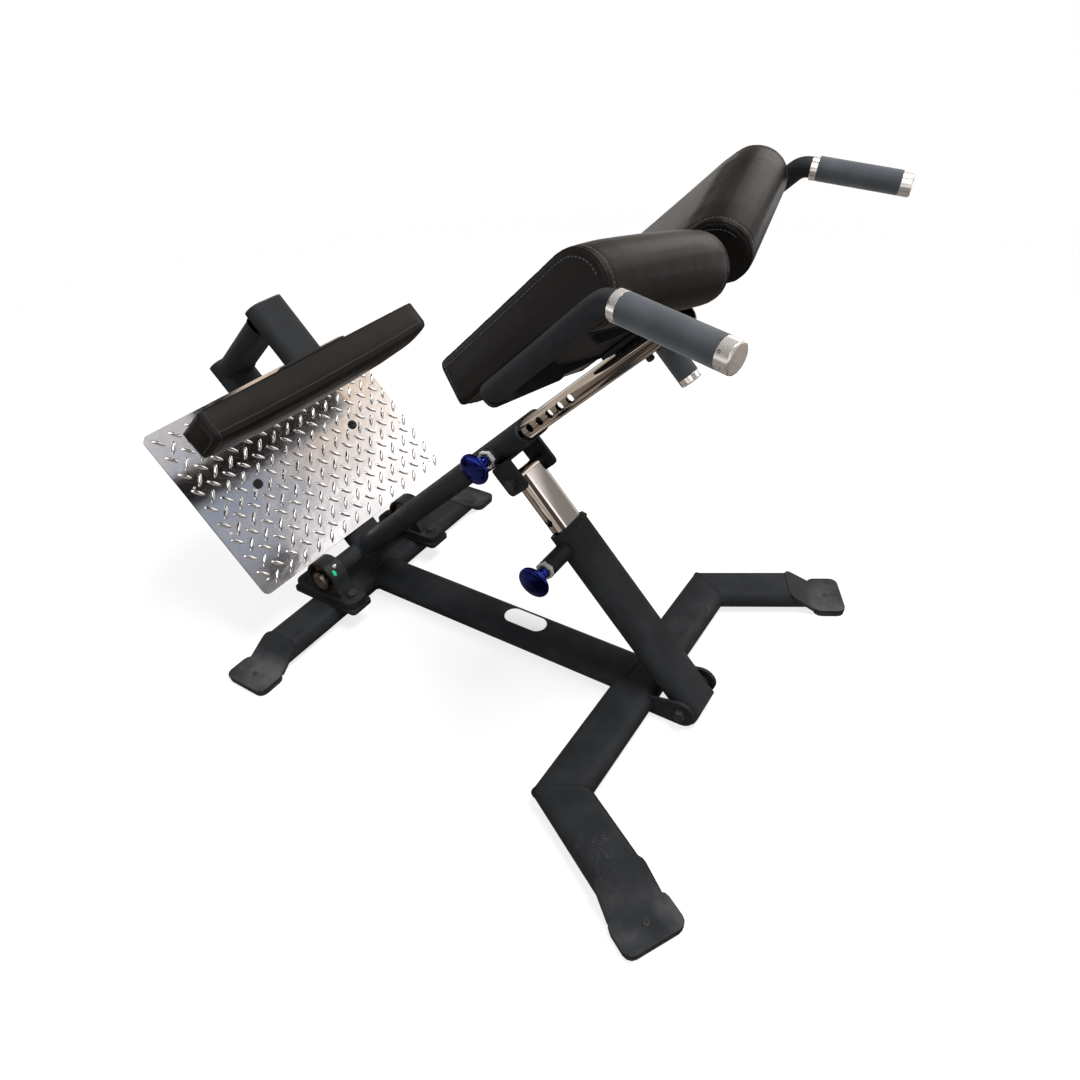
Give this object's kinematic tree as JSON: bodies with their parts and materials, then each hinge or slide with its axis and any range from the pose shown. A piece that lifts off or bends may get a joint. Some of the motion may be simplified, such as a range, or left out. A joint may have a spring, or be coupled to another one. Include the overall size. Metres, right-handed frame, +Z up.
{
  "type": "hyperextension bench",
  "caption": "Adjustable hyperextension bench with split hip pads, side handles, calf pad, tread foot plate, sliding pad carriage and a telescopic angle strut on a splayed steel base.",
  "frame": {"origin": "on the floor, at the centre of the bench's bounding box seen from above", "axes": "+Z up, -Y towards the handles at the front, +X towards the left hand of a person who uses the bench face down, looking towards -Y"},
  "size_m": [0.8594, 1.1912, 0.8579],
  "materials": {
    "black_powder_coat": "satin black powder coat with a slight orange peel",
    "rubber": "matt moulded rubber",
    "cast_iron": "black painted casting",
    "zinc": "bright zinc plated steel",
    "black_oxide": "black fastener finish",
    "black_plastic": "satin moulded plastic",
    "plywood": "plain plywood",
    "leather": "black coated leather with fine grain",
    "tread_plate": "bright tread plate with raised lugs",
    "aluminium": "polished and lacquered",
    "grip_foam": "dull dense foam rubber",
    "blue_anodised": "blue anodised, satin",
    "chrome": "bright chrome plate"
  },
  "bodies": {
    "base": {"rear_cross_tube": "black_powder_coat", "spine_tube": "black_powder_coat", "front_cross_tube": "black_powder_coat", "front_leg_left": "black_powder_coat", "front_leg_right": "black_powder_coat", "rubber_foot_rear_left": "rubber", "rubber_foot_rear_right": "rubber", "rubber_foot_front_left": "rubber", "rubber_foot_front_right": "rubber", "bearing_housing_left": "cast_iron", "bearing_housing_right": "cast_iron", "bearing_race_left": "zinc", "bearing_race_right": "zinc", "bearing_bolt_left_front": "black_oxide", "bearing_bolt_left_rear": "black_oxide", "bearing_bolt_right_front": "black_oxide", "bearing_bolt_right_rear": "black_oxide", "lower_pivot_bolt": "black_oxide"},
    "tilt_frame": {"pivot_shaft": "zinc", "beam_tube": "black_powder_coat", "heel_tube": "black_powder_coat", "heel_end_cap": "black_plastic", "arm_end_cap": "black_plastic", "top_link_tube": "black_powder_coat", "calf_arm_tube": "black_powder_coat", "calf_board": "plywood", "calf_pad": "leather", "foot_plate": "tread_plate", "foot_plate_bolt_left": "black_oxide", "foot_plate_bolt_right": "black_oxide", "upper_pivot_bolt": "black_oxide", "beam_guide_bush": "black_plastic", "beam_pin_nut": "zinc"},
    "beam_pin": {"beam_pin_rod": "zinc", "beam_pin_knob": "blue_anodised"},
    "pad_carriage": {"carriage_tube": "chrome", "cradle_bracket": "black_powder_coat", "pad_board_left": "plywood", "pad_board_right": "plywood", "hip_pad_left": "leather", "hip_pad_right": "leather", "handle_frame_left": "black_powder_coat", "handle_frame_right": "black_powder_coat", "handle_ring_left": "aluminium", "handle_ring_right": "aluminium", "handle_grip_left": "grip_foam", "handle_grip_right": "grip_foam", "handle_cap_left": "aluminium", "handle_cap_right": "aluminium", "pull_stub": "aluminium", "pull_grip": "grip_foam", "stop_bumper": "rubber"},
    "strut_outer": {"strut_outer_tube": "black_powder_coat", "strut_guide_bush": "black_plastic", "strut_pin_nut": "zinc", "strut_clamp_screw": "black_oxide"},
    "strut_pin": {"strut_pin_rod": "zinc", "strut_pin_knob": "blue_anodised"},
    "strut_inner": {"strut_inner_tube": "chrome", "strut_top_sleeve": "chrome"}
  },
  "joints": [
    {"name": "tilt", "type": "hinge", "parent": "base", "child": "tilt_frame", "pos_m": [0, 0.2725, 0.0952], "axis": [-1, 0, 0], "range_deg": [-5.67, 5.67]},
    {"name": "carriage_slide", "type": "slide", "parent": "tilt_frame", "child": "pad_carriage", "axis": [0, -0.7466, 0.6652], "range_m": [-0.2, 0.1]},
    {"name": "beam_pin_pull", "type": "slide", "parent": "tilt_frame", "child": "beam_pin", "axis": [1, 0, 0], "range_m": [0, 0.012], "stiffness_N_per_m": 400, "springref_m": 0.012},
    {"name": "strut_lean", "type": "hinge", "parent": "base", "child": "strut_outer", "pos_m": [0, -0.444, 0.0306], "axis": [1, 0, 0], "range_deg": [-0.4925, 0.4925]},
    {"name": "strut_extend", "type": "slide", "parent": "strut_outer", "child": "strut_inner", "axis": [0, 0.6443, 0.7648], "range_m": [-0.0501, 0.0501]},
    {"name": "strut_pin_pull", "type": "slide", "parent": "strut_outer", "child": "strut_pin", "axis": [1, 0, 0], "range_m": [0, 0.012], "stiffness_N_per_m": 400, "springref_m": 0.012}
  ],
  "couplings": [
    {"joint": "strut_lean", "follows": "tilt", "ratio": 0.0866},
    {"joint": "strut_extend", "follows": "tilt", "m_per_rad": 0.50552}
  ]
}
